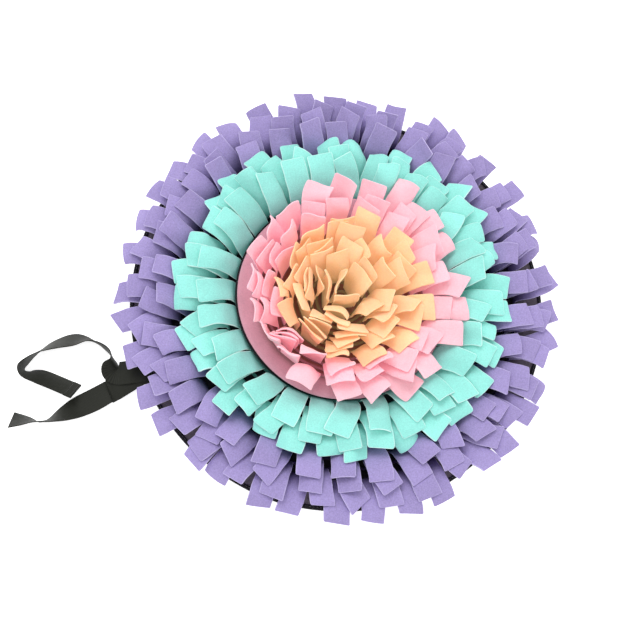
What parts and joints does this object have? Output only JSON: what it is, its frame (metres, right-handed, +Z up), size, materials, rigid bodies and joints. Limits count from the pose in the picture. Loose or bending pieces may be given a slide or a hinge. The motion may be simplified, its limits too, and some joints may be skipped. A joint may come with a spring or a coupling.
{
  "type": "snuffle mat",
  "caption": "Round snuffle mat: rings of purple, mint, pink and peach fleece tabs stand on a flat base cloth and a shallow upper disc, with black ribbon ties at one side.",
  "frame": {"origin": "centre of the mat's flat underside, on the surface that it lies on", "axes": "+Z up through the middle of the rings; the ribbon ties leave towards -X, a little to -Y"},
  "size_m": [0.5461, 0.46, 0.072],
  "materials": {
    "lavender_fleece": "matt anti-pill fleece, cut edges",
    "mint_fleece": "matt anti-pill fleece, cut edges",
    "pink_fleece": "matt anti-pill fleece, cut edges",
    "peach_fleece": "matt anti-pill fleece, cut edges",
    "charcoal_cloth": "plain weave, matt",
    "mauve_cloth": "plain weave, matt",
    "black_binding": "folded binding tape, stitched",
    "black_ribbon": "ribbed tape, soft sheen"
  },
  "bodies": {
    "root": {"base_disc": "charcoal_cloth", "rim_binding": "black_binding", "upper_disc": "mauve_cloth", "upper_disc_edge": "black_binding", "purple_row_1": "lavender_fleece", "purple_row_2": "lavender_fleece", "purple_row_3": "lavender_fleece", "purple_row_4": "lavender_fleece", "mint_row_1": "mint_fleece", "mint_row_2": "mint_fleece", "mint_row_3": "mint_fleece", "pink_row_1": "pink_fleece", "pink_row_2": "pink_fleece", "peach_row_1": "peach_fleece", "peach_row_2": "peach_fleece", "peach_row_3": "peach_fleece", "peach_row_4": "peach_fleece", "tie_upper": "black_ribbon", "tie_lower": "black_ribbon"}
  },
  "joints": []
}
